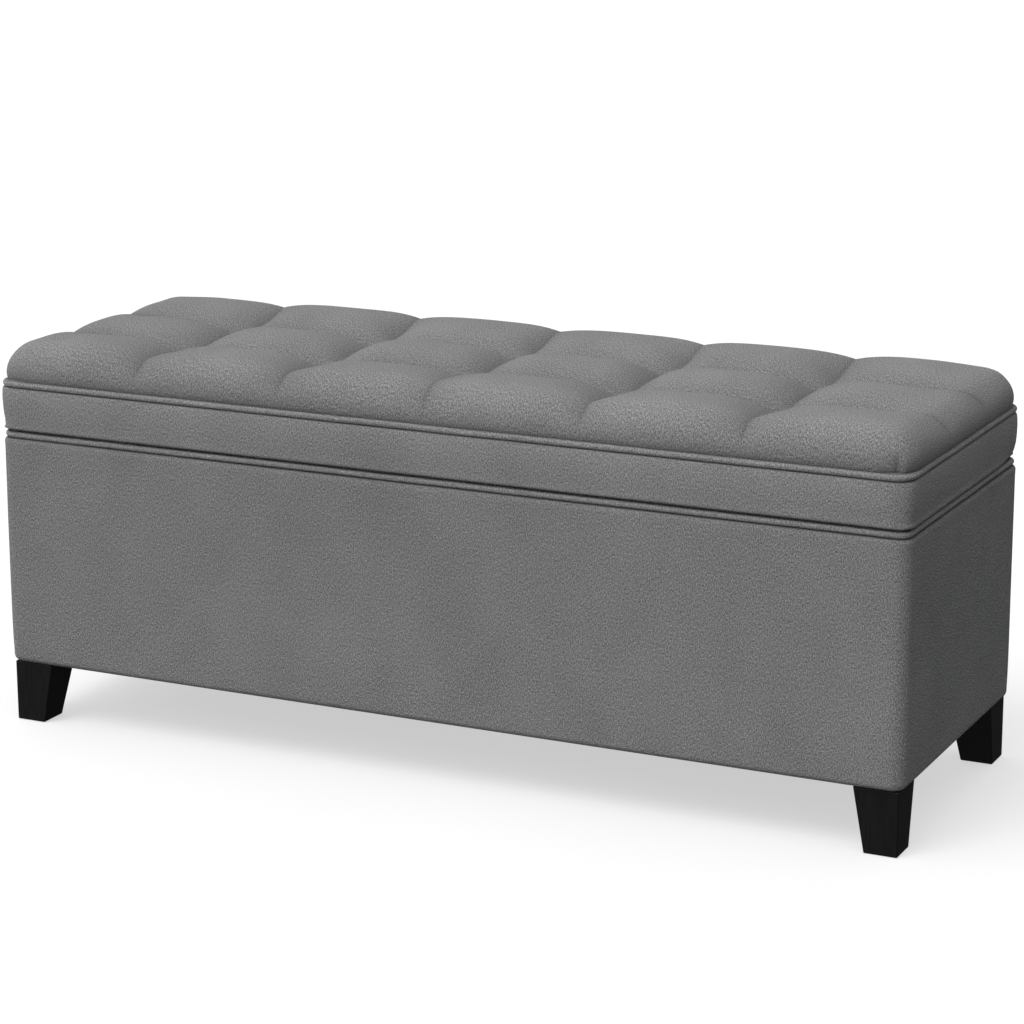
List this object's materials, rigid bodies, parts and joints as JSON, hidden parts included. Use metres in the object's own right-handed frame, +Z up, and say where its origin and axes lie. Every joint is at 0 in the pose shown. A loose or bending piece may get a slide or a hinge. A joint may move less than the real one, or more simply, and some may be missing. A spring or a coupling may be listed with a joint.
{
  "type": "storage bench",
  "caption": "Upholstered storage bench: a long padded box on tapered block feet, with a hinged, tufted and piped seat lid over the storage space.",
  "frame": {"origin": "on the floor, under the middle of the bench", "axes": "+X along the bench's length, +Y to the rear (hinge side), +Z up"},
  "size_m": [1.206, 0.416, 0.499],
  "materials": {
    "grey_fabric": "matte",
    "grey_piping": "matte",
    "lining_cloth": "matte",
    "dust_cloth": "matte",
    "foam": "matte",
    "mdf_board": "matte",
    "plywood": "satin",
    "black_wood": "satin",
    "zinc_steel": "satin",
    "hinge_steel": "satin",
    "black_steel": "satin",
    "black_plastic": "matte"
  },
  "bodies": {
    "base": {"body_cover": "grey_fabric", "body_welt": "grey_piping", "bottom_board": "plywood", "corner_post_front_left": "plywood", "corner_post_front_right": "plywood", "corner_post_rear_left": "plywood", "corner_post_rear_right": "plywood", "dust_cover": "dust_cloth", "front_panel": "mdf_board", "glide_front_left": "black_plastic", "glide_front_right": "black_plastic", "glide_rear_left": "black_plastic", "glide_rear_right": "black_plastic", "hinge_base_leaf_left": "hinge_steel", "hinge_base_leaf_right": "hinge_steel", "hinge_base_screw_left_a": "zinc_steel", "hinge_base_screw_left_b": "zinc_steel", "hinge_base_screw_right_a": "zinc_steel", "hinge_base_screw_right_b": "zinc_steel", "hinge_pin_left": "hinge_steel", "hinge_pin_right": "hinge_steel", "left_end_panel": "mdf_board", "leg_bolt_front_left": "zinc_steel", "leg_bolt_front_right": "zinc_steel", "leg_bolt_rear_left": "zinc_steel", "leg_bolt_rear_right": "zinc_steel", "leg_front_left": "black_wood", "leg_front_right": "black_wood", "leg_rear_left": "black_wood", "leg_rear_right": "black_wood", "rear_panel": "mdf_board", "right_end_panel": "mdf_board", "stay_base_bracket_left": "black_steel", "stay_base_bracket_right": "black_steel", "stay_base_screw_left": "zinc_steel", "stay_base_screw_right": "zinc_steel", "storage_lining": "lining_cloth"},
    "lid": {"hinge_lid_leaf_left": "hinge_steel", "hinge_lid_leaf_right": "hinge_steel", "hinge_lid_screw_left_a": "zinc_steel", "hinge_lid_screw_left_b": "zinc_steel", "hinge_lid_screw_right_a": "zinc_steel", "hinge_lid_screw_right_b": "zinc_steel", "lid_band": "grey_fabric", "lid_board": "plywood", "lid_cushion": "grey_fabric", "lid_foam": "foam", "lid_lining": "dust_cloth", "lid_welt": "grey_piping", "stay_lid_bracket_left": "black_steel", "stay_lid_bracket_right": "black_steel", "stay_lid_screw_left": "zinc_steel", "stay_lid_screw_right": "zinc_steel"},
    "stay_lower_left": {"stay_lower_arm_left": "black_steel", "stay_rivet_left": "hinge_steel"},
    "stay_upper_left": {"stay_upper_arm_left": "black_steel"},
    "stay_lower_right": {"stay_lower_arm_right": "black_steel", "stay_rivet_right": "hinge_steel"},
    "stay_upper_right": {"stay_upper_arm_right": "black_steel"}
  },
  "joints": [
    {"name": "lid_hinge", "type": "hinge", "parent": "base", "child": "lid", "pos_m": [0, 0.2045, 0.3826], "axis": [-1, 0, 0], "range_deg": [0, 95]},
    {"name": "stay_lower_pivot_left", "type": "hinge", "parent": "base", "child": "stay_lower_left", "pos_m": [-0.5679, 0.1385, 0.3326], "axis": [-1, 0, 0], "range_deg": [0, 95]},
    {"name": "stay_upper_pivot_left", "type": "hinge", "parent": "lid", "child": "stay_upper_left", "pos_m": [-0.5653, 0.0245, 0.3706], "axis": [-1, 0, 0], "range_deg": [-95, 0]},
    {"name": "stay_lower_pivot_right", "type": "hinge", "parent": "base", "child": "stay_lower_right", "pos_m": [0.5679, 0.1385, 0.3326], "axis": [-1, 0, 0], "range_deg": [0, 95]},
    {"name": "stay_upper_pivot_right", "type": "hinge", "parent": "lid", "child": "stay_upper_right", "pos_m": [0.5653, 0.0245, 0.3706], "axis": [-1, 0, 0], "range_deg": [-95, 0]}
  ],
  "couplings": [
    {"joint": "stay_lower_pivot_left", "follows": "lid_hinge", "ratio": 1},
    {"joint": "stay_upper_pivot_left", "follows": "lid_hinge", "ratio": -1},
    {"joint": "stay_lower_pivot_right", "follows": "lid_hinge", "ratio": 1},
    {"joint": "stay_upper_pivot_right", "follows": "lid_hinge", "ratio": -1}
  ]
}
